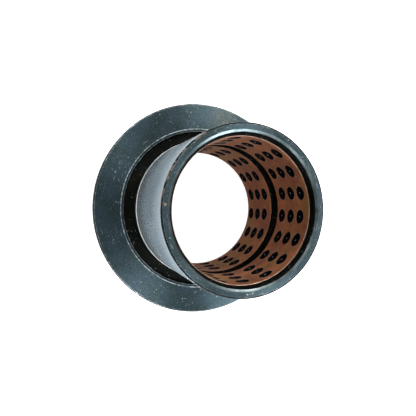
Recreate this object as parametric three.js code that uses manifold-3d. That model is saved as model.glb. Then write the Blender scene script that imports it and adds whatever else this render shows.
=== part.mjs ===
// Flanged pin bushing: a steel sleeve with an end flange, two bronze liners pressed into its bore,
// and solid-lubricant plugs in rows through the liners.
// Millimetres, +Z along the bore. The origin is the centre of the flange's back face, so the part
// stands on its flange and the open end of the sleeve points up.

import * as THREE from 'three';
import { mergeVertices } from 'three/addons/utils/BufferGeometryUtils.js';
import Module from 'manifold-3d';

// Driving dimensions of the steel sleeve
const TOTAL_LENGTH = 99;
const SLEEVE_RADIUS = 50;
const BORE_RADIUS = 44.6;
const FLANGE_RADIUS = 79;
const FLANGE_THICKNESS = 12;
const FLANGE_CHAMFER = 0.8;
const END_CHAMFER_WIDTH = 1.1;
const END_CHAMFER_DEPTH = 0.4;
const MOUTH_CHAMFER_WIDTH = 1.4;
const MOUTH_CHAMFER_DEPTH = 0.8;

// The flange root: the ground outside runs out on a black band, inside a turned annular recess
const GROUND_END_Z = 20.4;
const RUN_OUT_LENGTH = 1.4;
const ROOT_RADIUS = 50.3;
const RECESS_RADIUS = 58;
const RECESS_FLOOR_Z = 8;
const RECESS_CORNER = 1;
const RECESS_LIP_WIDTH = 2;
const RECESS_LIP_DEPTH = 0.6;

// Grease groove in the bore, and the hole that feeds it
const GROOVE_RADIUS = 46;
const GROOVE_WIDTH = 10;
const FEED_HOLE_RADIUS = 3;
const FEED_HOLE_ANGLE = 115;

// Bronze liners: flat facets carry the rows of plugs, narrower facets lie between them
const LINER_LENGTH = 40;
const END_RECESS = 4.5;
const LINER_OUTER_RADIUS = 44.4;
const LINER_BORE_RADIUS = 42.7;
const ROW_COUNT = 18;
const FIRST_ROW_ANGLE = -5.5;
const ROW_FACET_ANGLE = 12;

// Lubricant plugs
const PLUGS_PER_ROW = 3;
const PLUG_PITCH = 11.6;
const ROW_STAGGER = -2.1;
const HOLE_RADIUS = 4.3;
const PLUG_RADIUS = 4.2;
const PLUG_SINK = 0.35;
const PLUG_SIDES = 8;
const POCKET_DEPTH = 0.5;
const POCKET_MARGIN = 0.3;
const WEB_THICKNESS = 0.3;
const WEB_CLEARANCE = 0.1;

const SLEEVE_SEGMENTS = 72;
const HOLE_SEGMENTS = 16;
const OVERSHOOT = 1;

const degrees = THREE.MathUtils.degToRad;
const rowStep = 360 / ROW_COUNT;
const linerBoreVertexRadius = LINER_BORE_RADIUS / Math.cos(degrees(ROW_FACET_ANGLE / 2));
const linerFacetRadius = LINER_OUTER_RADIUS * Math.cos(degrees(ROW_FACET_ANGLE / 2));
const pocketFloorRadius = linerFacetRadius - POCKET_DEPTH;
const rowLength = (PLUGS_PER_ROW - 1) * PLUG_PITCH + 2 * HOLE_RADIUS;

const wasm = await Module();
wasm.setup();

const blackOxideSteel = new THREE.MeshStandardMaterial({ color: 0x3c4648, roughness: 0.38, metalness: 0.9 });
const linerBronze = new THREE.MeshStandardMaterial({ color: 0xb0673f, roughness: 0.45, metalness: 0.85 });
const graphite = new THREE.MeshStandardMaterial({ color: 0x141516, roughness: 0.35, metalness: 0.1 });

function toSolid(geometry) {
  const bare = geometry.clone();
  bare.deleteAttribute('normal');
  bare.deleteAttribute('uv');
  const welded = mergeVertices(bare, 1e-4);
  return new wasm.Manifold(new wasm.Mesh({
    numProp: 3,
    vertProperties: new Float32Array(welded.attributes.position.array),
    triVerts: new Uint32Array(welded.index.array),
  }));
}

function toGeometry(solid) {
  const mesh = solid.getMesh();
  const geometry = new THREE.BufferGeometry();
  geometry.setAttribute('position', new THREE.BufferAttribute(mesh.vertProperties, 3));
  geometry.setIndex(new THREE.BufferAttribute(mesh.triVerts, 1));
  return geometry;
}

function namedMesh(name, geometry, material) {
  const mesh = new THREE.Mesh(geometry, material);
  mesh.name = name;
  return mesh;
}

// A closed outline of (radius, height) pairs turned about the Z axis
function revolve(outline) {
  const points = [...outline, outline[0]].map(([radius, height]) => new THREE.Vector2(radius, height));
  return new THREE.LatheGeometry(points, SLEEVE_SEGMENTS).rotateX(Math.PI / 2);
}

// A quarter round between two walls, from one tangent point to the other
function cornerArc(centreRadius, centreZ, radius, startAngle, steps = 2) {
  return Array.from({ length: steps + 1 }, (_, step) => {
    const angle = degrees(startAngle - (90 * step) / steps);
    return [centreRadius + radius * Math.cos(angle), centreZ + radius * Math.sin(angle)];
  });
}

function sleeveOutline() {
  const grooveBottom = (TOTAL_LENGTH - GROOVE_WIDTH) / 2;
  const cornerZ = RECESS_FLOOR_Z + RECESS_CORNER;
  return [
    [BORE_RADIUS + MOUTH_CHAMFER_WIDTH, 0],
    [FLANGE_RADIUS - FLANGE_CHAMFER, 0],
    [FLANGE_RADIUS, FLANGE_CHAMFER],
    [FLANGE_RADIUS, FLANGE_THICKNESS - FLANGE_CHAMFER],
    [FLANGE_RADIUS - FLANGE_CHAMFER, FLANGE_THICKNESS],
    [RECESS_RADIUS + RECESS_LIP_WIDTH, FLANGE_THICKNESS],
    [RECESS_RADIUS, FLANGE_THICKNESS - RECESS_LIP_DEPTH],
    ...cornerArc(RECESS_RADIUS - RECESS_CORNER, cornerZ, RECESS_CORNER, 0),
    ...cornerArc(ROOT_RADIUS + RECESS_CORNER, cornerZ, RECESS_CORNER, -90),
    [ROOT_RADIUS, GROUND_END_Z - RUN_OUT_LENGTH],
    [SLEEVE_RADIUS, GROUND_END_Z],
    [SLEEVE_RADIUS, TOTAL_LENGTH - END_CHAMFER_DEPTH],
    [SLEEVE_RADIUS - END_CHAMFER_WIDTH, TOTAL_LENGTH],
    [BORE_RADIUS + MOUTH_CHAMFER_WIDTH, TOTAL_LENGTH],
    [BORE_RADIUS, TOTAL_LENGTH - MOUTH_CHAMFER_DEPTH],
    [BORE_RADIUS, grooveBottom + GROOVE_WIDTH],
    [GROOVE_RADIUS, grooveBottom + GROOVE_WIDTH],
    [GROOVE_RADIUS, grooveBottom],
    [BORE_RADIUS, grooveBottom],
    [BORE_RADIUS, MOUTH_CHAMFER_DEPTH],
  ];
}

function flangedSleeve() {
  const wallMiddle = (SLEEVE_RADIUS + BORE_RADIUS) / 2;
  const drillLength = SLEEVE_RADIUS - BORE_RADIUS + 2 * OVERSHOOT;
  const drill = new THREE.CylinderGeometry(FEED_HOLE_RADIUS, FEED_HOLE_RADIUS, drillLength, HOLE_SEGMENTS)
    .rotateZ(Math.PI / 2)
    .translate(wallMiddle, 0, TOTAL_LENGTH / 2)
    .rotateZ(degrees(FEED_HOLE_ANGLE));
  const solid = toSolid(revolve(sleeveOutline())).subtract(toSolid(drill));
  return namedMesh('flanged_steel_sleeve', toGeometry(solid), blackOxideSteel);
}

// Corner angles of the liner's section: one wide facet under each row and one between rows
function linerCornerAngles() {
  const angles = [];
  for (let row = 0; row < ROW_COUNT; row += 1) {
    const middle = FIRST_ROW_ANGLE + row * rowStep;
    angles.push(degrees(middle - ROW_FACET_ANGLE / 2), degrees(middle + ROW_FACET_ANGLE / 2));
  }
  return angles;
}

function linerRing(lowZ) {
  const corners = (radius) => linerCornerAngles()
    .map((angle) => new THREE.Vector2(radius * Math.cos(angle), radius * Math.sin(angle)));
  const section = new THREE.Shape(corners(LINER_OUTER_RADIUS));
  section.holes.push(new THREE.Path(corners(linerBoreVertexRadius)));
  return new THREE.ExtrudeGeometry(section, { depth: LINER_LENGTH, bevelEnabled: false }).translate(0, 0, lowZ);
}

// Alternate rows are staggered along the axis
function rowCentreZ(row, lowZ) {
  const stagger = row % 2 === 0 ? ROW_STAGGER : 0;
  return lowZ + LINER_LENGTH / 2 + stagger;
}

// Three round studs and the flat plate that backs them, built on +X and turned to the row's angle
function studRow({ row, lowZ, studRadius, studFrom, studTo, plateFrom, plateTo, plateMargin }) {
  const centreZ = rowCentreZ(row, lowZ);
  const turn = degrees(FIRST_ROW_ANGLE + row * rowStep);
  const plate = new THREE.BoxGeometry(
    plateTo - plateFrom,
    2 * HOLE_RADIUS + 2 * plateMargin,
    rowLength + 2 * plateMargin,
  ).translate((plateFrom + plateTo) / 2, 0, centreZ);
  let solid = toSolid(plate.rotateZ(turn));
  for (let index = 0; index < PLUGS_PER_ROW; index += 1) {
    const offset = (index - (PLUGS_PER_ROW - 1) / 2) * PLUG_PITCH;
    const stud = new THREE.CylinderGeometry(studRadius, studRadius, studTo - studFrom, PLUG_SIDES)
      .rotateY(Math.PI / PLUG_SIDES)
      .rotateZ(Math.PI / 2)
      .translate((studFrom + studTo) / 2, 0, centreZ + offset)
      .rotateZ(turn);
    solid = solid.add(toSolid(stud));
  }
  return solid;
}

function rowCutter(row, lowZ) {
  return studRow({
    row,
    lowZ,
    studRadius: HOLE_RADIUS,
    studFrom: LINER_BORE_RADIUS - OVERSHOOT,
    studTo: pocketFloorRadius + POCKET_DEPTH / 2,
    plateFrom: pocketFloorRadius,
    plateTo: LINER_OUTER_RADIUS + OVERSHOOT,
    plateMargin: POCKET_MARGIN,
  });
}

function plugRow(row, lowZ) {
  const webInner = pocketFloorRadius + WEB_CLEARANCE;
  return studRow({
    row,
    lowZ,
    studRadius: PLUG_RADIUS,
    studFrom: LINER_BORE_RADIUS + PLUG_SINK,
    studTo: webInner + WEB_THICKNESS / 2,
    plateFrom: webInner,
    plateTo: webInner + WEB_THICKNESS,
    plateMargin: POCKET_MARGIN / 3,
  });
}

function linerWithPlugs(endName, lowZ) {
  const group = new THREE.Group();
  let ring = toSolid(linerRing(lowZ));
  for (let row = 0; row < ROW_COUNT; row += 1) {
    ring = ring.subtract(rowCutter(row, lowZ));
    const number = String(row + 1).padStart(2, '0');
    group.add(namedMesh(`lubricant_row_${endName}_${number}`, toGeometry(plugRow(row, lowZ)), graphite));
  }
  group.add(namedMesh(`bronze_liner_${endName}_end`, toGeometry(ring), linerBronze));
  return group;
}

const bushing = new THREE.Group();
bushing.add(flangedSleeve());
bushing.add(linerWithPlugs('open', TOTAL_LENGTH - END_RECESS - LINER_LENGTH));
bushing.add(linerWithPlugs('flange', END_RECESS));

export default bushing;
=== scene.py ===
"""Looks of a flanged pin bushing: a blackened steel sleeve with a ground outside, two perforated bronze
liners in its bore, and rows of graphite plugs in the liners. Everything is in metres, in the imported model's
frame: +Z runs along the bore, and the part stands on its flange."""

import math
from collections import namedtuple

import bmesh
import bpy
from mathutils import Matrix, Vector, geometry


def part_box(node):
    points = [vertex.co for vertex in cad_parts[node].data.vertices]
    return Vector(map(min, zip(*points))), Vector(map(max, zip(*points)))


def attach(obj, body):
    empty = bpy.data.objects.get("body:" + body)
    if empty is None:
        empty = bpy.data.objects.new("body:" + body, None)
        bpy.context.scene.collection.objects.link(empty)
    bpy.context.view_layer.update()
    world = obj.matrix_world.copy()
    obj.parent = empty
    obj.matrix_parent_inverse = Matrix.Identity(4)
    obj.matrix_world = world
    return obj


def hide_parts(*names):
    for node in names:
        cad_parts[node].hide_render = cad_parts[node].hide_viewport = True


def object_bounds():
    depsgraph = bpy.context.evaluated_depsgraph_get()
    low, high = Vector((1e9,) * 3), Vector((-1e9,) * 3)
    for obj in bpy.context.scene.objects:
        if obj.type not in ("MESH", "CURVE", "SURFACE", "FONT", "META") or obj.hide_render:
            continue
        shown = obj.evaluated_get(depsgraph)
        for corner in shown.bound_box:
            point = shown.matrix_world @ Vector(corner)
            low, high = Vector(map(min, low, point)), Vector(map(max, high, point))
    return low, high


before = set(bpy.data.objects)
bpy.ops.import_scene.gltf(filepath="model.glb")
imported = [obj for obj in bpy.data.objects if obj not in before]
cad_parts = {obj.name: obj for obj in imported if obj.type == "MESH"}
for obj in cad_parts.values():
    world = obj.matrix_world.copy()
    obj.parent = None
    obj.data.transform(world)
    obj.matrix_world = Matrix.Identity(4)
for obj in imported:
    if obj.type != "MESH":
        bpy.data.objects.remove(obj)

cad_low, cad_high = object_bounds()

MM = 0.001
SLEEVE_NODE = "flanged_steel_sleeve"
LINER_ENDS = ("open", "flange")

# Steel sleeve
SLEEVE_RADIUS = 50 * MM
BORE_RADIUS = 44.6 * MM
FLANGE_THICKNESS = 12 * MM
FLANGE_CHAMFER = 0.8 * MM
END_CHAMFER_WIDTH = 1.1 * MM
END_CHAMFER_DEPTH = 0.4 * MM
MOUTH_CHAMFER_WIDTH = 1.4 * MM
MOUTH_CHAMFER_DEPTH = 0.8 * MM
GROUND_END_HEIGHT = 20.4 * MM
RUN_OUT_LENGTH = 1.4 * MM
ROOT_RADIUS = 50.3 * MM
RECESS_RADIUS = 58 * MM
RECESS_FLOOR = 8 * MM
RECESS_CORNER = 1 * MM
RECESS_LIP_WIDTH = 2 * MM
RECESS_LIP_DEPTH = 0.6 * MM
GROOVE_RADIUS = 46 * MM
GROOVE_WIDTH = 10 * MM
FEED_HOLE_RADIUS = 3 * MM
FEED_HOLE_ANGLE = math.radians(115)
FEED_HOLE_MARGIN = 1 * MM
FEED_HOLE_OVERSHOOT = 2 * MM
FEED_HOLE_SEGMENTS = 48
SLEEVE_SEGMENTS = 256

# Corners of the turned outline
FINE_ROUND = 0.12 * MM
WORN_ROUND = 0.2 * MM
LIP_ROUND = 0.5 * MM
SHALLOW_ROUND = 2 * MM
CORNER_STEPS = 4
SHARP_ANGLE = math.radians(40)

# Turned and ground marks: how far the anisotropy is turned from the way round the bore, in whole turns
ACROSS_MARKS = 0.25

# Bronze liners and their holes. A bevel's steps are shares of its size: how deep, and how far past the hole.
LINER_BORE_RADIUS = 42.7 * MM
LINER_WALL_GAP = 0.05 * MM
HOLE_RADIUS = 4.3 * MM
HOLE_BEVEL = 0.08 * MM
HOLE_BEVEL_STEPS = ((0.3, 0.45), (0.95, 0.05))
HOLE_RIM = 0.45 * MM
HOLE_SEGMENTS = 40
LINER_EDGE = 0.25 * MM
GRID_ANGLE_STEPS = 144
GRID_HEIGHT_STEPS = 12
GRID_CLEARANCE = 3 * HOLE_RIM
WELD_SCALE = 1e7
PLUGS_PER_ROW = 3
PLUG_PITCH = 11.6 * MM

# Graphite plugs
PLUG_CLEARANCE = 0.01 * MM
PLUG_SINK = 0.03 * MM
PLUG_ROUND = 0.06 * MM
MARK_RADIUS = 0.6 * MM
MARK_DEPTH = 0.35 * MM
MARK_STEPS = 5

# Materials of a liner and of a plug, as places in their lists. A liner's dark ends are painted shade, its
# rubbed rims are partly painted highlight, and a plug's mark is a painted highlight.
BRONZE, RUBBED_AND_HIGHLIT, SHADED_END = range(3)
PLUG_BLACK, PLUG_DIMPLE_HIGHLIGHT = range(2)

# Marks of use: nicks near the recess, haze with painted shade above the flange root, and rust on one side of
# the open end
HANDLED_WIDTH = 8 * MM
HAZE_SHADE_FULL_HEIGHT = 32 * MM
HAZE_SHADE_END_HEIGHT = 55 * MM
RUST_SIDE = (-0.80, 0.60, 0.0)

# Floor and backdrop. The first two are in flange radii.
FLOOR_SIZE = 40
DOME_RADIUS = 19
DOME_SEGMENTS = 64
DOME_RINGS = 32
BOUNCE_FLOOR_GAP = 1 * MM
BOUNCE_FLOOR_GLOW = 0.08

# Soft lights, all aimed at the middle of the part, with sizes in metres and power in watts
Light = namedtuple("Light", "name place width height power color")
NEUTRAL = (1, 1, 1)
WARM = (1.0, 0.98, 0.94)
COOL = (0.92, 0.97, 1.0)
PALE_BLUE = (0.94, 0.98, 1.0)
LIGHTS = (
    Light("soft_top_side", (0.30, 0.60, 0.50), 0.40, 0.25, 4.8, WARM),
    Light("soft_low_side", (0.52, -0.60, 0.60), 0.40, 0.25, 7.5, COOL),
    Light("soft_right", (0.50, 0.0, 0.62), 0.35, 0.35, 1.3, NEUTRAL),
    Light("soft_near_low", (-0.04, -0.32, 0.60), 0.20, 0.20, 0.7, NEUTRAL),
    Light("soft_near_high", (-0.20, 0.25, 0.60), 0.20, 0.20, 0.5, NEUTRAL),
    Light("soft_left_high", (-0.36, 0.70, 0.10), 0.4, 0.16, 5.5, PALE_BLUE),
    Light("soft_left_low", (-0.36, -0.70, 0.10), 0.4, 0.16, 8.5, PALE_BLUE),
)
WORLD_COLOR = (0.95, 0.98, 1.0, 1.0)
WORLD_STRENGTH = 0.31

# Camera, above the open end and to one side of it
CAMERA_PLACE = Vector((-0.0967, 0.00515, 0.31474))
CAMERA_FORWARD = Vector((0.32078, -0.01551, -0.94703))
CAMERA_UP_HINT = Vector((0, 0.99987, -0.01637))
CAMERA_LENS = 36.17
CAMERA_SENSOR = 36
CAMERA_NEAREST = 0.01

total_length = cad_high.z - cad_low.z
flange_radius = (cad_high.x - cad_low.x) / 2
# Middle of the tan highlight painted on the flange, and of the pale spot on the open end
flange_highlight_place = (0.018, 0.069, FLANGE_THICKNESS)
spot_place = (-0.0475, 0.0035, total_length)


# ---------------------------------------------------------------- node graphs

class Graph:
    """A material's node tree, with short calls for the nodes used here."""

    def __init__(self, name):
        self.material = bpy.data.materials.new(name)
        self.material.use_nodes = True
        self.tree = self.material.node_tree
        self.shader = self.tree.nodes["Principled BSDF"]
        self.place = self.node("ShaderNodeTexCoord").outputs["Object"]

    def node(self, kind, **settings):
        made = self.tree.nodes.new(kind)
        for setting, value in settings.items():
            setattr(made, setting, value)
        return made

    def feed(self, socket, value):
        """Links an output to a socket, or sets the socket's own value."""
        if isinstance(value, bpy.types.NodeSocket):
            self.tree.links.new(value, socket)
        else:
            socket.default_value = value

    def math(self, operation, first, second):
        made = self.node("ShaderNodeMath", operation=operation)
        self.feed(made.inputs[0], first)
        self.feed(made.inputs[1], second)
        return made.outputs[0]

    def vector_math(self, operation, first, second):
        made = self.node("ShaderNodeVectorMath", operation=operation)
        self.feed(made.inputs[0], first)
        self.feed(made.inputs[1], second)
        return made.outputs["Value" if operation in ("LENGTH", "DISTANCE", "DOT_PRODUCT") else "Vector"]

    def split(self, vector):
        made = self.node("ShaderNodeSeparateXYZ")
        self.feed(made.inputs[0], vector)
        return made.outputs

    def join(self, x, y, z):
        made = self.node("ShaderNodeCombineXYZ")
        for socket, value in zip(made.inputs, (x, y, z)):
            self.feed(socket, value)
        return made.outputs[0]

    def noise(self, scale, detail=3.0, roughness=0.55, vector=None, distortion=0.0):
        made = self.node("ShaderNodeTexNoise")
        self.feed(made.inputs["Vector"], vector or self.place)
        made.inputs["Scale"].default_value = scale
        made.inputs["Detail"].default_value = detail
        made.inputs["Roughness"].default_value = roughness
        made.inputs["Distortion"].default_value = distortion
        return made.outputs["Fac"]

    def span(self, value, low, high, to_low=0.0, to_high=1.0):
        """Maps low..high to to_low..to_high, clamped and smooth."""
        made = self.node("ShaderNodeMapRange", interpolation_type="SMOOTHSTEP")
        for socket, number in zip(made.inputs, (value, low, high, to_low, to_high)):
            self.feed(socket, number)
        return made.outputs[0]

    def mix(self, share, first, second):
        made = self.node("ShaderNodeMix", data_type="RGBA")
        self.feed(made.inputs[0], share)
        self.feed(made.inputs[6], first)
        self.feed(made.inputs[7], second)
        return made.outputs[2]

    def bump(self, height, distance, strength, normal=None):
        made = self.node("ShaderNodeBump")
        made.inputs["Strength"].default_value = strength
        made.inputs["Distance"].default_value = distance
        self.feed(made.inputs["Height"], height)
        if normal is not None:
            self.feed(made.inputs["Normal"], normal)
        return made.outputs[0]

    def from_axis(self):
        """The place with its height left out: the way from the bore's axis."""
        return self.vector_math("MULTIPLY", self.place, (1, 1, 0))

    def radius(self):
        return self.vector_math("LENGTH", self.from_axis(), (0, 0, 0))

    def turned_place(self, scale):
        """Radius and height only, so that any noise on it runs round the bore like a tool's marks."""
        height = self.split(self.place)[2]
        across = self.math("MULTIPLY", self.radius(), scale)
        along = self.math("MULTIPLY", height, scale)
        return self.join(across, along, 0.0)

    def ring_place(self, scale, arcs):
        """Fine across the radius and long round it, so that any noise on it makes arcs about the bore."""
        direction = self.vector_math("NORMALIZE", self.from_axis(), (0, 0, 0))
        around = self.vector_math("MULTIPLY", direction, (arcs, arcs, 0))
        across = self.math("MULTIPLY", self.radius(), scale)
        return self.vector_math("ADD", around, self.join(0.0, 0.0, across))

    def near(self, point, inner, outer):
        """1 close to a point of the frame, falling to 0 further away."""
        distance = self.vector_math("DISTANCE", self.place, point)
        return self.span(distance, inner, outer, 1.0, 0.0)

    def finish(self, color, roughness, metallic, normal=None, anisotropic=0.0, specular=0.5):
        shader = self.shader.inputs
        self.feed(shader["Base Color"], color)
        self.feed(shader["Roughness"], roughness)
        shader["Metallic"].default_value = metallic
        shader["Specular IOR Level"].default_value = specular
        if normal is not None:
            self.feed(shader["Normal"], normal)
        if anisotropic:
            shader["Anisotropic"].default_value = anisotropic
            shader["Anisotropic Rotation"].default_value = ACROSS_MARKS
            tangent = self.node("ShaderNodeTangent", direction_type="RADIAL", axis="Z")
            self.feed(shader["Tangent"], tangent.outputs[0])
        return self.material


def rgb(red, green, blue):
    return (red, green, blue, 1.0)


# ---------------------------------------------------------------- materials

def turned_steel():
    """Blackened turned faces with fine rings, cloudy oxide, nicks, scratches, a painted tan highlight on the
    flange and a pale spot.
    """
    g = Graph("turned_steel")
    rings = g.noise(1.0, 4.0, 0.7, g.turned_place(2600))
    clouds = g.noise(70.0, 5.0, 0.6)
    grain = g.noise(900.0, 3.0, 0.6)
    color = g.mix(g.span(clouds, 0.35, 0.65), rgb(0.034, 0.058, 0.062), rgb(0.046, 0.074, 0.094))
    color = g.mix(g.span(grain, 0.42, 0.70, 0.0, 0.45), color, rgb(0.105, 0.145, 0.155))
    by_recess = g.span(g.radius(), RECESS_RADIUS, RECESS_RADIUS + HANDLED_WIDTH, 0.10, 0.0)
    handled = g.span(g.math("ADD", g.noise(60.0, 2.0), by_recess), 0.45, 0.62)
    nicks = g.math("MULTIPLY", g.span(g.noise(620.0, 2.0, 0.5), 0.66, 0.72), handled)
    color = g.mix(nicks, color, rgb(0.36, 0.41, 0.40))
    arcs = g.noise(1.0, 2.0, 0.5, g.ring_place(900.0, 9.0))
    scratches = g.math("MULTIPLY", g.span(arcs, 0.64, 0.72), handled)
    color = g.mix(g.math("MULTIPLY", scratches, 0.8), color, rgb(0.25, 0.29, 0.29))
    # A painted highlight: a soft tan patch on the flange, where the turned face catches the light
    painted_highlight = g.math("MULTIPLY", g.near(flange_highlight_place, 2 * MM, 16 * MM),
                   g.span(g.noise(300.0, 4.0, 0.7), 0.30, 0.70, 0.1, 0.4))
    color = g.mix(painted_highlight, color, rgb(0.15, 0.145, 0.11))
    spot = g.math("MULTIPLY", g.near(spot_place, 0.5 * MM, 1.3 * MM),
                  g.span(g.noise(900.0, 3.0, 0.6), 0.35, 0.55))
    color = g.mix(spot, color, rgb(0.42, 0.33, 0.22))
    rough = g.span(clouds, 0.3, 0.7, 0.35, 0.40)
    normal = g.bump(rings, 0.02 * MM, 0.5)
    normal = g.bump(grain, 0.02 * MM, 0.4, normal)
    return g.finish(color, rough, 0.85, normal, anisotropic=0.85)


def ground_steel():
    """The sleeve's ground outside: bright, with fine grinding lines and a faint brown haze by the root that
    also paints shade there, darker towards the flange.
    """
    g = Graph("ground_steel")
    lines = g.noise(1.0, 3.0, 0.6, g.turned_place(3000))
    haze = g.noise(45.0, 4.0, 0.6)
    # Haze with painted shade: the outside gets browner and darker towards the flange root
    low = g.span(g.split(g.place)[2], HAZE_SHADE_FULL_HEIGHT, HAZE_SHADE_END_HEIGHT, 1.0, 0.0)
    haze_and_shade = g.math("MULTIPLY", low, g.span(haze, 0.35, 0.65, 0.2, 0.7))
    color = g.mix(g.span(lines, 0.3, 0.7), rgb(0.235, 0.285, 0.325), rgb(0.300, 0.365, 0.410))
    color = g.mix(haze_and_shade, color, rgb(0.15, 0.14, 0.13))
    rough = g.span(haze, 0.3, 0.7, 0.20, 0.27)
    normal = g.bump(lines, 0.01 * MM, 0.2)
    return g.finish(color, rough, 0.6, normal, anisotropic=0.5)


def black_oxide_painted_shade():
    """Deep blackened surfaces that were never ground: the recess, bore and groove, and the liners' ends. The
    colour is painted shade, far darker than the same oxide on open faces.
    """
    g = Graph("black_oxide_painted_shade")
    rings = g.noise(1.0, 4.0, 0.7, g.turned_place(1400))
    clouds = g.noise(120.0, 4.0, 0.6)
    # Painted shade: near black, far darker than the turned oxide, for hollows that light hardly reaches
    color = g.mix(g.span(clouds, 0.4, 0.7), rgb(0.0015, 0.0030, 0.0018), rgb(0.006, 0.007, 0.004))
    specks = g.span(g.noise(700.0, 2.0, 0.5), 0.63, 0.70)
    dust = g.math("MULTIPLY", specks, g.span(g.noise(80.0), 0.45, 0.60))
    color = g.mix(dust, color, rgb(0.13, 0.13, 0.12))
    normal = g.bump(rings, 0.03 * MM, 0.4)
    return g.finish(color, 0.45, 0.0, normal, anisotropic=0.6, specular=0.09)


def worn_edge_painted_highlight():
    """Edges where the oxide has worn through to bare steel, painted paler as highlights along the lips and
    chamfers.
    """
    g = Graph("worn_edge_painted_highlight")
    wear = g.noise(400.0, 3.0, 0.6)
    # Partly painted highlight: the pale patches stand for wear and for light caught on the edges
    color = g.mix(g.span(wear, 0.40, 0.62), rgb(0.16, 0.20, 0.21), rgb(0.62, 0.67, 0.68))
    return g.finish(color, 0.32, 0.6)


def worn_steel():
    """The mouth's chamfer, where pins have rubbed the oxide thin."""
    g = Graph("worn_steel")
    wear = g.span(g.noise(110.0, 4.0, 0.6), 0.38, 0.62)
    color = g.mix(wear, rgb(0.06, 0.08, 0.085), rgb(0.12, 0.15, 0.16))
    return g.finish(color, g.span(g.noise(300.0), 0.3, 0.7, 0.30, 0.40), 1.0)


def runout_painted_highlight():
    """The run-out where the ground outside ends, painted near white as a highlight line."""
    g = Graph("runout_painted_highlight")
    # A painted highlight: near white whatever the light
    color = g.mix(g.noise(90.0), rgb(0.68, 0.70, 0.69), rgb(0.86, 0.88, 0.88))
    return g.finish(color, g.span(g.noise(200.0), 0.3, 0.7, 0.28, 0.36), 0.3)


def dark_edge():
    """Black chamfers, with rust spots on one stretch of the open end's."""
    g = Graph("dark_edge")
    stretch = g.span(g.vector_math("DOT_PRODUCT", g.place, RUST_SIDE), 40 * MM, 48 * MM)
    high = g.math("MULTIPLY", stretch, g.span(g.split(g.place)[2], 80 * MM, 90 * MM))
    rust = g.math("MULTIPLY", high, g.span(g.noise(300.0, 3.0, 0.6), 0.46, 0.60, 0.0, 0.5))
    color = g.mix(g.noise(150.0), rgb(0.002, 0.004, 0.004), rgb(0.010, 0.014, 0.014))
    color = g.mix(rust, color, rgb(0.30, 0.19, 0.13))
    rough = g.math("ADD", 0.5, g.math("MULTIPLY", rust, 0.3))
    return g.finish(color, rough, 0.0, specular=0.08)


def liner_bronze():
    """Bored copper-coloured bronze, mottled yellow and red, with fine boring marks."""
    g = Graph("liner_bronze")
    marks = g.noise(1.0, 4.0, 0.7, g.turned_place(2200))
    mottle = g.noise(60.0, 5.0, 0.62, distortion=0.6)
    tint = g.noise(28.0, 3.0, 0.5)
    color = g.mix(g.span(mottle, 0.38, 0.62), rgb(0.44, 0.160, 0.072), rgb(0.62, 0.265, 0.118))
    color = g.mix(g.span(tint, 0.50, 0.64, 0.0, 0.8), color, rgb(0.46, 0.255, 0.078))
    color = g.mix(g.span(g.noise(150.0, 4.0, 0.6), 0.52, 0.70, 0.0, 0.6), color, rgb(0.27, 0.090, 0.038))
    rough = g.span(mottle, 0.3, 0.7, 0.34, 0.48)
    normal = g.bump(marks, 0.02 * MM, 0.5)
    return g.finish(color, rough, 0.7, normal, anisotropic=0.3)


def rubbed_bronze_painted_highlight():
    """Bronze edges rubbed pale and painted lighter as highlights, round the holes and along the rings' ends.
    """
    g = Graph("rubbed_bronze_painted_highlight")
    # Partly painted highlight: pale rings where the bevels catch light, as well as rubbed bronze
    color = g.mix(g.span(g.noise(260.0), 0.35, 0.65), rgb(0.44, 0.24, 0.16), rgb(0.66, 0.46, 0.37))
    return g.finish(color, 0.4, 0.6)


def graphite():
    """Pressed graphite, matt and nearly black."""
    g = Graph("graphite")
    clouds = g.noise(240.0, 3.0)
    color = g.mix(g.span(clouds, 0.35, 0.7), rgb(0.0006, 0.0006, 0.0008), rgb(0.0024, 0.0024, 0.003))
    normal = g.bump(g.noise(1500.0, 3.0, 0.6), 0.02 * MM, 0.15)
    return g.finish(color, g.span(clouds, 0.3, 0.7, 0.45, 0.53), 0.0, normal, specular=0.01)


def plug_dimple_painted_highlight():
    """The mark in the middle of each plug, painted lighter and shinier than graphite as its highlight dot."""
    g = Graph("plug_dimple_painted_highlight")
    # A painted highlight: light and metallic, so that each plug shows a bright dot
    color = g.mix(g.noise(300.0), rgb(0.12, 0.13, 0.15), rgb(0.36, 0.39, 0.43))
    return g.finish(color, g.span(g.noise(500.0), 0.3, 0.7, 0.22, 0.32), 0.9)


def floor_paint():
    """Plain white for the floor and the backdrop, bright enough to be pure white wherever they show."""
    g = Graph("floor_paint")
    color = g.mix(g.noise(6.0), rgb(0.93, 0.93, 0.93), rgb(0.95, 0.95, 0.95))
    g.shader.inputs["Emission Color"].default_value = rgb(1, 1, 1)
    g.shader.inputs["Emission Strength"].default_value = 1.0
    return g.finish(color, 0.9, 0.0, specular=0.1)


# ---------------------------------------------------------------- meshes

def add_mesh(name, vertices, faces, materials, face_materials):
    """A smooth-shaded mesh object in the scene, with a place in the list of materials for each face."""
    mesh = bpy.data.meshes.new(name)
    mesh.from_pydata(vertices, [], faces)
    for material in materials:
        mesh.materials.append(material)
    mesh.polygons.foreach_set("material_index", face_materials)
    mesh.validate()
    mesh.shade_smooth()
    mesh.set_sharp_from_angle(angle=SHARP_ANGLE)
    piece = bpy.data.objects.new(name, mesh)
    bpy.context.scene.collection.objects.link(piece)
    return piece


def on_circle(radius, angle, height):
    return Vector((radius * math.cos(angle), radius * math.sin(angle), height))


def circle_steps(count):
    """The angles of equal steps round a circle."""
    return [2 * math.pi * step / count for step in range(count)]


def band(ring, after):
    """Faces between two rings of as many points."""
    ahead = ring[1:] + ring[:1]
    after_ahead = after[1:] + after[:1]
    return [list(corners) for corners in zip(ring, ahead, after_ahead, after)]


Corner = namedtuple("Corner", "radius height rounding edge side")


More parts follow.
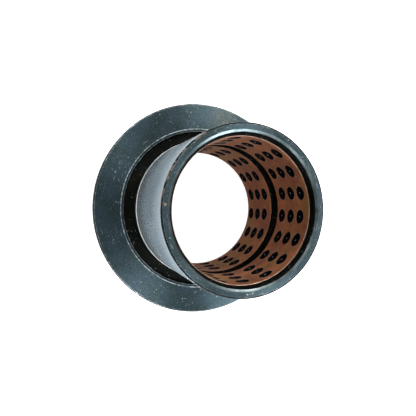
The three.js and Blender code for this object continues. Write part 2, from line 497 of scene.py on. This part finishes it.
def rounded_outline(corners):
    """Points and finishes of a closed outline whose corners are arcs. A finish belongs to the stretch after
    its point. A corner's edge finish covers its arc, and its side finish the side up to the next corner."""
    points = []
    finishes = []
    places = [Vector((corner.radius, corner.height)) for corner in corners]
    for index, corner in enumerate(corners):
        place = places[index]
        to_before = (places[index - 1] - place).normalized()
        to_after = (places[(index + 1) % len(places)] - place).normalized()
        half = to_before.angle(to_after) / 2
        sweep = math.pi - 2 * half
        start = to_before * (corner.rounding / math.tan(half))
        end = to_after * (corner.rounding / math.tan(half))
        centre = (to_before + to_after).normalized() * (corner.rounding / math.sin(half))
        for step in range(CORNER_STEPS + 1):
            share = step / CORNER_STEPS
            from_start = (start - centre) * math.sin((1 - share) * sweep)
            from_end = (end - centre) * math.sin(share * sweep)
            points.append(place + centre + (from_start + from_end) / math.sin(sweep))
            finishes.append(corner.edge if step < CORNER_STEPS else corner.side)
    return points, finishes


def sleeve_corners():
    """The sleeve's turned outline, from the mouth on the flange's side outwards and round to it again."""
    groove_low = (total_length - GROOVE_WIDTH) / 2
    groove_high = groove_low + GROOVE_WIDTH
    rim_top = FLANGE_THICKNESS - FLANGE_CHAMFER
    mouth_radius = BORE_RADIUS + MOUTH_CHAMFER_WIDTH
    # The black stretches take black oxide painted darker as shade, the bright edges pale paint that is partly
    # painted highlight, and the run-out a painted highlight
    return [
        Corner(mouth_radius, 0, FINE_ROUND, "turned", "turned"),
        Corner(flange_radius - FLANGE_CHAMFER, 0, FINE_ROUND, "turned", "dark"),
        Corner(flange_radius, FLANGE_CHAMFER, FINE_ROUND, "dark", "turned"),
        Corner(flange_radius, rim_top, FINE_ROUND, "dark", "dark"),
        Corner(flange_radius - FLANGE_CHAMFER, FLANGE_THICKNESS, WORN_ROUND, "bright", "turned"),
        Corner(RECESS_RADIUS + RECESS_LIP_WIDTH, FLANGE_THICKNESS, SHALLOW_ROUND, "bright", "turned"),
        Corner(RECESS_RADIUS, FLANGE_THICKNESS - RECESS_LIP_DEPTH, LIP_ROUND, "bright", "black"),
        Corner(RECESS_RADIUS, RECESS_FLOOR, RECESS_CORNER, "black", "black"),
        Corner(ROOT_RADIUS, RECESS_FLOOR, RECESS_CORNER, "black", "black"),
        Corner(ROOT_RADIUS, GROUND_END_HEIGHT - RUN_OUT_LENGTH, FINE_ROUND, "runout_highlight", "runout_highlight"),
        Corner(SLEEVE_RADIUS, GROUND_END_HEIGHT, FINE_ROUND, "runout_highlight", "ground"),
        Corner(SLEEVE_RADIUS, total_length - END_CHAMFER_DEPTH, FINE_ROUND, "ground", "dark"),
        Corner(SLEEVE_RADIUS - END_CHAMFER_WIDTH, total_length, FINE_ROUND, "bright", "turned"),
        Corner(mouth_radius, total_length, WORN_ROUND, "worn", "worn"),
        Corner(BORE_RADIUS, total_length - MOUTH_CHAMFER_DEPTH, FINE_ROUND, "worn", "black"),
        Corner(BORE_RADIUS, groove_high, FINE_ROUND, "black", "black"),
        Corner(GROOVE_RADIUS, groove_high, FINE_ROUND, "black", "black"),
        Corner(GROOVE_RADIUS, groove_low, FINE_ROUND, "black", "black"),
        Corner(BORE_RADIUS, groove_low, FINE_ROUND, "black", "black"),
        Corner(BORE_RADIUS, MOUTH_CHAMFER_DEPTH, FINE_ROUND, "turned", "turned"),
    ]


def turn(points):
    """Vertices and faces of a closed outline turned about the bore axis."""
    step = 2 * math.pi / SLEEVE_SEGMENTS
    vertices = [on_circle(point.x, step * turn_index, point.y)
                for turn_index in range(SLEEVE_SEGMENTS) for point in points]
    faces = []
    count = len(points)
    for turn_index in range(SLEEVE_SEGMENTS):
        here = turn_index * count
        there = (turn_index + 1) % SLEEVE_SEGMENTS * count
        for index in range(count):
            after = (index + 1) % count
            faces.append((here + index, there + index, there + after, here + after))
    return vertices, faces


def ring_edges(mesh, heights):
    """Adds a ring of edges round the mesh at each height."""
    work = bmesh.new()
    work.from_mesh(mesh)
    for height in heights:
        everything = work.verts[:] + work.edges[:] + work.faces[:]
        bmesh.ops.bisect_plane(work, geom=everything, plane_co=(0, 0, height), plane_no=(0, 0, 1))
    work.to_mesh(mesh)
    work.free()


def cut_feed_hole(sleeve, black):
    """Drills the grease feed hole into the groove at mid length, with edges close round it so that the long
    ground faces keep their shading."""
    reach = FEED_HOLE_RADIUS + FEED_HOLE_MARGIN
    ring_edges(sleeve.data, (total_length / 2 - reach, total_length / 2 + reach))
    wall_middle = (SLEEVE_RADIUS + BORE_RADIUS) / 2
    drill_length = SLEEVE_RADIUS - BORE_RADIUS + 2 * FEED_HOLE_OVERSHOOT
    place = on_circle(wall_middle, FEED_HOLE_ANGLE, total_length / 2)
    bpy.ops.mesh.primitive_cylinder_add(
        vertices=FEED_HOLE_SEGMENTS, radius=FEED_HOLE_RADIUS, depth=drill_length)
    drill = bpy.context.object
    drill.matrix_world = (Matrix.Translation(place) @ Matrix.Rotation(FEED_HOLE_ANGLE, 4, "Z")
                          @ Matrix.Rotation(math.pi / 2, 4, "Y"))
    # The hole's wall takes the black oxide painted darker as shade
    drill.data.materials.append(black)
    cut = sleeve.modifiers.new("feed_hole", "BOOLEAN")
    cut.operation = "DIFFERENCE"
    cut.solver = "EXACT"
    cut.material_mode = "TRANSFER"
    cut.object = drill
    bpy.context.view_layer.objects.active = sleeve
    bpy.ops.object.modifier_apply(modifier=cut.name)
    bpy.data.objects.remove(drill)
    sleeve.data.shade_smooth()
    sleeve.data.set_sharp_from_angle(angle=SHARP_ANGLE)


def steel_sleeve(black):
    """The sleeve as one closed body. Its unground hollows take the black oxide, painted far darker as shade.
    """
    points, finishes = rounded_outline(sleeve_corners())
    vertices, faces = turn(points)
    palette = {
        "turned": turned_steel(),
        "ground": ground_steel(),
        "black": black,
        "bright": worn_edge_painted_highlight(),
        "worn": worn_steel(),
        "runout_highlight": runout_painted_highlight(),
        "dark": dark_edge(),
    }
    order = list(palette)
    face_materials = [order.index(finish) for finish in finishes] * SLEEVE_SEGMENTS
    piece = add_mesh("steel_sleeve_body", vertices, faces, palette.values(), face_materials)
    cut_feed_hole(piece, black)
    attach(piece, "root")
    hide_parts(SLEEVE_NODE)


# A row of plugs: its angle round the bore and the height of its middle
Row = namedtuple("Row", "node angle height")


def plug_rows(end):
    """The rows of one liner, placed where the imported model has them."""
    rows = []
    prefix = f"lubricant_row_{end}_"
    for node in sorted(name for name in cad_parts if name.startswith(prefix)):
        low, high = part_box(node)
        middle = (low + high) / 2
        rows.append(Row(node, math.atan2(middle.y, middle.x), middle.z))
    return rows


def hole_heights(row):
    return [row.height + (index - (PLUGS_PER_ROW - 1) / 2) * PLUG_PITCH for index in range(PLUGS_PER_ROW)]


def hole_loop(row, height, hole_radius, radius):
    """Points round a radial hole where it meets a cylinder of the given radius."""
    loop = []
    for angle in circle_steps(HOLE_SEGMENTS):
        aside = math.asin(hole_radius * math.cos(angle) / radius)
        loop.append(on_circle(radius, row.angle + aside, height + hole_radius * math.sin(angle)))
    return loop


def way_round(angle, start):
    """How far round the bore an angle lies from the start."""
    return (angle - start) % (2 * math.pi) * LINER_BORE_RADIUS


def flat_loop(row, height, hole_radius, start):
    """Points round a hole on the unrolled bore, as (way round, height)."""
    loop = []
    for angle in circle_steps(HOLE_SEGMENTS):
        aside = math.asin(hole_radius * math.cos(angle) / LINER_BORE_RADIUS)
        loop.append(Vector((way_round(row.angle + aside, start), height + hole_radius * math.sin(angle))))
    return loop


def to_nearest(point, centres):
    return min((point - centre).length for centre in centres)


def grid_points(centres, low_z, high_z):
    """A grid on the unrolled bore that keeps clear of the holes, with a whole border."""
    width = 2 * math.pi * LINER_BORE_RADIUS
    points = []
    for column in range(GRID_ANGLE_STEPS + 1):
        for line in range(GRID_HEIGHT_STEPS + 1):
            point = Vector((width * column / GRID_ANGLE_STEPS,
                            low_z + (high_z - low_z) * line / GRID_HEIGHT_STEPS))
            on_border = line in (0, GRID_HEIGHT_STEPS) or column in (0, GRID_ANGLE_STEPS)
            if on_border or to_nearest(point, centres) > HOLE_RADIUS + GRID_CLEARANCE:
                points.append(point)
    return points


def liner_plan(rows, start, low_z, high_z):
    """The liner's bore unrolled flat: points as (way round, height), triangles and their finishes, and the
    edge of each hole as its row, its height and its loop of points."""
    seats = [(row, height) for row in rows for height in hole_heights(row)]
    centres = [Vector((way_round(row.angle, start), height)) for row, height in seats]
    flat = []
    edges = []
    loops = []
    for row, height in seats:
        for reach in (HOLE_BEVEL, HOLE_RIM):
            loop = list(range(len(flat), len(flat) + HOLE_SEGMENTS))
            flat += flat_loop(row, height, HOLE_RADIUS + reach, start)
            edges += zip(loop, loop[1:] + loop[:1])
            if reach == HOLE_BEVEL:
                loops.append(loop)
    flat += grid_points(centres, low_z, high_z)
    points, _, triangles, sources, _, _ = geometry.delaunay_2d_cdt(flat, edges, [], 0, 1 / WELD_SCALE)
    renamed = {old: new for new, olds in enumerate(sources) for old in olds}
    holes = [(row, height, [renamed[index] for index in loop]) for (row, height), loop in zip(seats, loops)]
    kept = []
    finishes = []
    for triangle in triangles:
        middle = sum((points[index] for index in triangle), Vector((0, 0))) / 3
        distance = to_nearest(middle, centres)
        if distance > HOLE_RADIUS:
            kept.append(triangle)
            # A pale band round each hole: rubbed bronze with a painted highlight
            finishes.append(RUBBED_AND_HIGHLIT if distance < HOLE_RADIUS + HOLE_RIM else BRONZE)
    return points, kept, finishes, holes


class SharedVertices:
    """Vertices that are shared by place, so that skins, walls and ends close into one body."""

    def __init__(self):
        self.places = []
        self.index_of = {}

    def add(self, place):
        key = tuple(round(value * WELD_SCALE) for value in place)
        if key not in self.index_of:
            self.index_of[key] = len(self.places)
            self.places.append(place)
        return self.index_of[key]

    def add_all(self, places):
        return [self.add(place) for place in places]


def hole_wall(shared, row, height, inner_loop, outer_loop, outer_radius):
    """Faces and finishes of a hole's wall, with its edge at the bore bevelled, rubbed and painted with a
    highlight.
    """
    rings = [inner_loop]
    for depth, reach in HOLE_BEVEL_STEPS:
        radius = LINER_BORE_RADIUS + depth * HOLE_BEVEL
        rings.append(shared.add_all(hole_loop(row, height, HOLE_RADIUS + reach * HOLE_BEVEL, radius)))
    rings.append(shared.add_all(hole_loop(row, height, HOLE_RADIUS, outer_radius - HOLE_BEVEL)))
    rings.append(outer_loop)
    faces = []
    finishes = []
    for ring, after in zip(rings, rings[1:]):
        faces += band(ring, after)
        # The bevel takes the pale rubbed bronze with a painted highlight
        finishes += [BRONZE if after is outer_loop else RUBBED_AND_HIGHLIT] * HOLE_SEGMENTS
    return faces, finishes


def liner_end(shared, start, edge_z, end_z, outer_radius):
    """Faces and finishes of one flat end of a liner, with both its edges bevelled."""
    outline = (
        (LINER_BORE_RADIUS, edge_z),
        (LINER_BORE_RADIUS + LINER_EDGE, end_z),
        (outer_radius - LINER_EDGE, end_z),
        (outer_radius, edge_z),
    )
    rings = []
    for radius, height in outline:
        rings.append(shared.add_all(on_circle(radius, start + angle, height)
                                    for angle in circle_steps(GRID_ANGLE_STEPS)))
    faces = []
    finishes = []
    for ring, after in zip(rings, rings[1:]):
        faces += [face if end_z > edge_z else face[::-1] for face in band(ring, after)]
        # The ring by the bore takes pale rubbed bronze with a painted highlight, and the rest of the end
        # takes the black material, painted shade on the bronze
        finishes += [RUBBED_AND_HIGHLIT if ring is rings[0] else SHADED_END] * GRID_ANGLE_STEPS
    return faces, finishes


def liner(end, materials):
    """A perforated ring: inner and outer skins of one plan, the bevelled walls of its holes, and its ends.
    Returns the rows of plugs that it holds."""
    node = f"bronze_liner_{end}_end"
    low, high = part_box(node)
    low_edge = low.z + LINER_EDGE
    high_edge = high.z - LINER_EDGE
    outer_radius = BORE_RADIUS - LINER_WALL_GAP
    rows = plug_rows(end)
    start = rows[0].angle - math.pi / len(rows)
    plan, triangles, finishes, holes = liner_plan(rows, start, low_edge, high_edge)
    width = 2 * math.pi * LINER_BORE_RADIUS
    shared = SharedVertices()

    def skin(radius):
        return shared.add_all(on_circle(radius, start + (point.x / width % 1.0) * 2 * math.pi, point.y)
                              for point in plan)

    inner = skin(LINER_BORE_RADIUS)
    outer = skin(outer_radius)
    faces = [[inner[index] for index in reversed(triangle)] for triangle in triangles]
    faces += [[outer[index] for index in triangle] for triangle in triangles]
    finishes += [BRONZE] * len(triangles)
    parts = []
    for row, height, loop in holes:
        inner_loop = [inner[index] for index in loop]
        outer_loop = [outer[index] for index in loop]
        parts.append(hole_wall(shared, row, height, inner_loop, outer_loop, outer_radius))
    for edge_z, end_z in ((low_edge, low.z), (high_edge, high.z)):
        parts.append(liner_end(shared, start, edge_z, end_z, outer_radius))
    for part_faces, part_finishes in parts:
        faces += part_faces
        finishes += part_finishes
    piece = add_mesh(f"bronze_liner_{end}", shared.places, faces, materials, finishes)
    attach(piece, "root")
    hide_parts(node)
    return rows


def plug_profile(outer_radius):
    """Half outline of a plug, from the middle of its face to the middle of its back, as (radius, depth). The
    depth is the distance from the bore's axis. The face has a round pressed mark at its centre."""
    radius = HOLE_RADIUS - PLUG_CLEARANCE
    shoulder = radius - PLUG_ROUND
    face = LINER_BORE_RADIUS + PLUG_SINK
    profile = []
    for step in range(MARK_STEPS + 1):
        angle = math.pi / 2 * step / MARK_STEPS
        profile.append((MARK_RADIUS * math.sin(angle), face + MARK_DEPTH * math.cos(angle)))
    for step in range(CORNER_STEPS + 1):
        angle = math.pi / 2 * step / CORNER_STEPS
        profile.append((shoulder + PLUG_ROUND * math.sin(angle), face + PLUG_ROUND * (1 - math.cos(angle))))
    profile.append((radius, outer_radius))
    profile.append((0.0, outer_radius))
    return profile


def plug_row(row, materials):
    """The plugs of one row as one piece of closed bodies, their faces on the bore's cylinder."""
    profile = plug_profile(BORE_RADIUS - 2 * LINER_WALL_GAP)
    vertices = []
    faces = []
    finishes = []
    for height in hole_heights(row):
        rings = []
        for radius, depth in profile:
            first = len(vertices)
            steps = HOLE_SEGMENTS if radius > 0 else 1
            for angle in circle_steps(steps):
                aside = math.asin(radius * math.cos(angle) / depth)
                vertices.append(on_circle(depth, row.angle + aside, height + radius * math.sin(angle)))
            rings.append([first + step % steps for step in range(HOLE_SEGMENTS)])
        for index, (ring, after) in enumerate(zip(rings, rings[1:])):
            for here, ahead, after_ahead, after_here in band(ring, after):
                faces.append(list(dict.fromkeys((here, after_here, after_ahead, ahead))))
                # The centre mark takes the painted highlight
                finishes.append(PLUG_DIMPLE_HIGHLIGHT if index < MARK_STEPS else PLUG_BLACK)
    name = row.node.replace("lubricant_row", "graphite_plugs")
    piece = add_mesh(name, vertices, faces, materials, finishes)
    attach(piece, "root")
    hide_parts(row.node)


# ---------------------------------------------------------------- stage

def floor_and_backdrop():
    """A white floor and a white dome round it, seen by the camera only, so that they don't light the part."""
    paint = floor_paint()
    bpy.ops.mesh.primitive_plane_add(size=FLOOR_SIZE * flange_radius, location=(0, 0, cad_low.z))
    ground = bpy.context.object
    ground.name = "floor"
    bpy.ops.mesh.primitive_uv_sphere_add(
        segments=DOME_SEGMENTS, ring_count=DOME_RINGS, radius=DOME_RADIUS * flange_radius)
    dome = bpy.context.object
    dome.name = "backdrop"
    for piece in (ground, dome):
        piece.data.materials.append(paint)
        piece.visible_diffuse = False
        piece.visible_glossy = False
        piece.visible_shadow = False


def bounce_paint():
    """Pale grey that glows a little, like a floor under studio lights."""
    g = Graph("bounce_paint")
    color = g.mix(g.noise(6.0), rgb(0.82, 0.83, 0.84), rgb(0.86, 0.87, 0.88))
    g.shader.inputs["Emission Color"].default_value = rgb(1, 1, 1)
    g.shader.inputs["Emission Strength"].default_value = BOUNCE_FLOOR_GLOW
    return g.finish(color, 0.9, 0.0)


def bounce_floor():
    """A grey floor just under the white one, hidden from the camera. The part is lit by it and mirrors it, so
    that the white floor doesn't light up the inside of the bore."""
    height = cad_low.z - BOUNCE_FLOOR_GAP
    bpy.ops.mesh.primitive_plane_add(size=FLOOR_SIZE * flange_radius, location=(0, 0, height))
    piece = bpy.context.object
    piece.name = "bounce_floor"
    piece.data.materials.append(bounce_paint())
    piece.visible_camera = False


def lights():
    """The soft lights, and an even pale world."""
    target = Vector((0, 0, total_length / 2))
    for light in LIGHTS:
        lamp = bpy.data.lights.new(light.name, "AREA")
        lamp.shape = "RECTANGLE"
        lamp.size = light.width
        lamp.size_y = light.height
        lamp.energy = light.power
        lamp.color = light.color
        holder = bpy.data.objects.new(light.name, lamp)
        bpy.context.scene.collection.objects.link(holder)
        holder.location = light.place
        holder.rotation_mode = "QUATERNION"
        holder.rotation_quaternion = (target - Vector(light.place)).to_track_quat("-Z", "Y")
    world = bpy.data.worlds.new("studio")
    world.use_nodes = True
    background = world.node_tree.nodes["Background"]
    background.inputs["Color"].default_value = WORLD_COLOR
    background.inputs["Strength"].default_value = WORLD_STRENGTH
    bpy.context.scene.world = world
    bpy.context.scene.view_settings.view_transform = "Standard"


def camera():
    lens = bpy.data.cameras.new("camera")
    lens.sensor_width = CAMERA_SENSOR
    lens.lens = CAMERA_LENS
    lens.clip_start = CAMERA_NEAREST
    holder = bpy.data.objects.new("camera", lens)
    bpy.context.scene.collection.objects.link(holder)
    forward = CAMERA_FORWARD.normalized()
    right = forward.cross(CAMERA_UP_HINT).normalized()
    up = right.cross(forward)
    turn_matrix = Matrix((right, up, -forward)).transposed().to_4x4()
    holder.matrix_world = Matrix.Translation(CAMERA_PLACE) @ turn_matrix
    bpy.context.scene.camera = holder


camera()
lights()
floor_and_backdrop()
bounce_floor()
shaded_black_material = black_oxide_painted_shade()
steel_sleeve(shaded_black_material)
# The liners' pale rims are partly painted highlight, and their ends are painted shade
liner_materials = [liner_bronze(), rubbed_bronze_painted_highlight(), shaded_black_material]
# The plugs' centre marks are painted highlights
plug_materials = [graphite(), plug_dimple_painted_highlight()]
for liner_end_name in LINER_ENDS:
    for plug_row_place in liner(liner_end_name, liner_materials):
        plug_row(plug_row_place, plug_materials)
